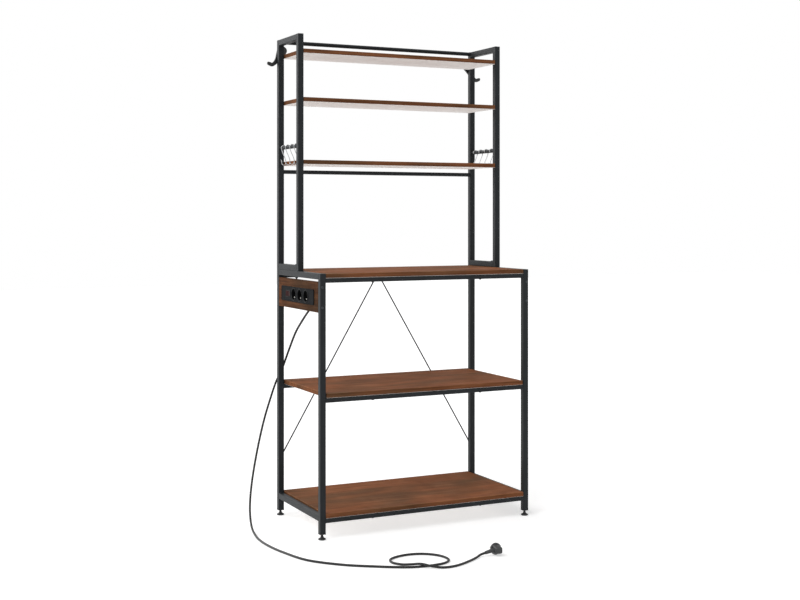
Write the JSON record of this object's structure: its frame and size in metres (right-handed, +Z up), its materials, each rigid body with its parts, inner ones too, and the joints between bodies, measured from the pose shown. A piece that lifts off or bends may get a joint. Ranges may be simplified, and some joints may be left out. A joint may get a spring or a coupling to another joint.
{
  "type": "kitchen shelf",
  "caption": "Freestanding steel and board kitchen rack with a deep counter, a shallow hutch above it, a side socket strip with a lead and plug, wire hooks, clip hooks and levelling feet.",
  "frame": {"origin": "on the floor, midway between the four legs", "axes": "+X to the right seen from the front, +Y towards the back, +Z up; the socket strip is on the -X side"},
  "size_m": [1.0211, 0.8806, 1.688],
  "materials": {
    "frame_steel": "black powder coat, satin",
    "brown_board": "rustic brown wood-grain board, matt",
    "strip_plastic": "dark grey moulded plastic",
    "socket_plastic": "black moulded plastic",
    "rocker_red": "translucent red plastic",
    "black_plastic": "black moulded plastic",
    "hook_wire": "bright plated wire",
    "bright_zinc": "bright plated steel",
    "plug_plastic": "dark grey moulded plastic",
    "cord_rubber": "black flexible sheath"
  },
  "bodies": {
    "root": {"base_frame_left": "frame_steel", "base_frame_right": "frame_steel", "bottom_rail_front": "frame_steel", "bottom_rail_back": "frame_steel", "middle_rail_front": "frame_steel", "middle_rail_back": "frame_steel", "counter_rail_front": "frame_steel", "counter_rail_back": "frame_steel", "hutch_frame_left": "frame_steel", "hutch_frame_right": "frame_steel", "hanging_back_bar": "frame_steel", "top_back_bar": "frame_steel", "brace_rod_left": "frame_steel", "brace_rod_right": "frame_steel", "brace_screw_left": "bright_zinc", "brace_screw_right": "bright_zinc", "brace_screw_middle": "bright_zinc", "hutch_bolt_left": "frame_steel", "hutch_bolt_right": "frame_steel", "outlet_screw_front_1": "frame_steel", "outlet_screw_front_2": "frame_steel", "outlet_screw_back_1": "frame_steel", "outlet_screw_back_2": "frame_steel", "bottom_board": "brown_board", "middle_board": "brown_board", "counter_board": "brown_board", "lower_shelf": "brown_board", "centre_shelf": "brown_board", "upper_shelf": "brown_board", "outlet_board": "brown_board", "strip_housing": "strip_plastic", "strip_cover": "strip_plastic", "socket_1": "socket_plastic", "socket_2": "socket_plastic", "socket_3": "socket_plastic", "leg_insert_front_left": "black_plastic", "leg_insert_front_right": "black_plastic", "leg_insert_back_left": "black_plastic", "leg_insert_back_right": "black_plastic", "clip_hook_left": "black_plastic", "clip_hook_right": "black_plastic", "cord_gland": "cord_rubber", "mains_cord": "cord_rubber", "plug_body": "plug_plastic", "plug_pin_1": "bright_zinc", "plug_pin_2": "bright_zinc"},
    "rocker": {"rocker_switch": "rocker_red"},
    "foot_fl": {"foot_front_left": "black_plastic"},
    "foot_fr": {"foot_front_right": "black_plastic"},
    "foot_bl": {"foot_back_left": "black_plastic"},
    "foot_br": {"foot_back_right": "black_plastic"},
    "hook_left_1": {"s_hook_left_1": "hook_wire"},
    "hook_left_2": {"s_hook_left_2": "hook_wire"},
    "hook_left_3": {"s_hook_left_3": "hook_wire"},
    "hook_left_4": {"s_hook_left_4": "hook_wire"},
    "hook_right_1": {"s_hook_right_1": "hook_wire"},
    "hook_right_2": {"s_hook_right_2": "hook_wire"},
    "hook_right_3": {"s_hook_right_3": "hook_wire"},
    "hook_right_4": {"s_hook_right_4": "hook_wire"}
  },
  "joints": [
    {"name": "rocker_tilt", "type": "hinge", "parent": "root", "child": "rocker", "pos_m": [-0.4, 0.0855, 0.7937], "axis": [0, 0, -1], "range_deg": [0, 14]},
    {"name": "foot_fl_turn", "type": "hinge", "parent": "root", "child": "foot_fl", "pos_m": [-0.39, -0.19, 0], "axis": [0, 0, 1], "continuous": true},
    {"name": "foot_fr_turn", "type": "hinge", "parent": "root", "child": "foot_fr", "pos_m": [0.39, -0.19, 0], "axis": [0, 0, 1], "continuous": true},
    {"name": "foot_bl_turn", "type": "hinge", "parent": "root", "child": "foot_bl", "pos_m": [-0.39, 0.19, 0], "axis": [0, 0, 1], "continuous": true},
    {"name": "foot_br_turn", "type": "hinge", "parent": "root", "child": "foot_br", "pos_m": [0.39, 0.19, 0], "axis": [0, 0, 1], "continuous": true},
    {"name": "hook_left_1_swing", "type": "hinge", "parent": "root", "child": "hook_left_1", "pos_m": [-0.39, 0.0375, 1.304], "axis": [0, 1, 0], "range_deg": [0, 60]},
    {"name": "hook_left_2_swing", "type": "hinge", "parent": "root", "child": "hook_left_2", "pos_m": [-0.39, 0.0775, 1.304], "axis": [0, 1, 0], "range_deg": [0, 60]},
    {"name": "hook_left_3_swing", "type": "hinge", "parent": "root", "child": "hook_left_3", "pos_m": [-0.39, 0.1175, 1.304], "axis": [0, 1, 0], "range_deg": [0, 60]},
    {"name": "hook_left_4_swing", "type": "hinge", "parent": "root", "child": "hook_left_4", "pos_m": [-0.39, 0.1575, 1.304], "axis": [0, 1, 0], "range_deg": [0, 60]},
    {"name": "hook_right_1_swing", "type": "hinge", "parent": "root", "child": "hook_right_1", "pos_m": [0.39, 0.0375, 1.304], "axis": [0, -1, 0], "range_deg": [0, 60]},
    {"name": "hook_right_2_swing", "type": "hinge", "parent": "root", "child": "hook_right_2", "pos_m": [0.39, 0.0775, 1.304], "axis": [0, -1, 0], "range_deg": [0, 60]},
    {"name": "hook_right_3_swing", "type": "hinge", "parent": "root", "child": "hook_right_3", "pos_m": [0.39, 0.1175, 1.304], "axis": [0, -1, 0], "range_deg": [0, 60]},
    {"name": "hook_right_4_swing", "type": "hinge", "parent": "root", "child": "hook_right_4", "pos_m": [0.39, 0.1575, 1.304], "axis": [0, -1, 0], "range_deg": [0, 60]}
  ]
}
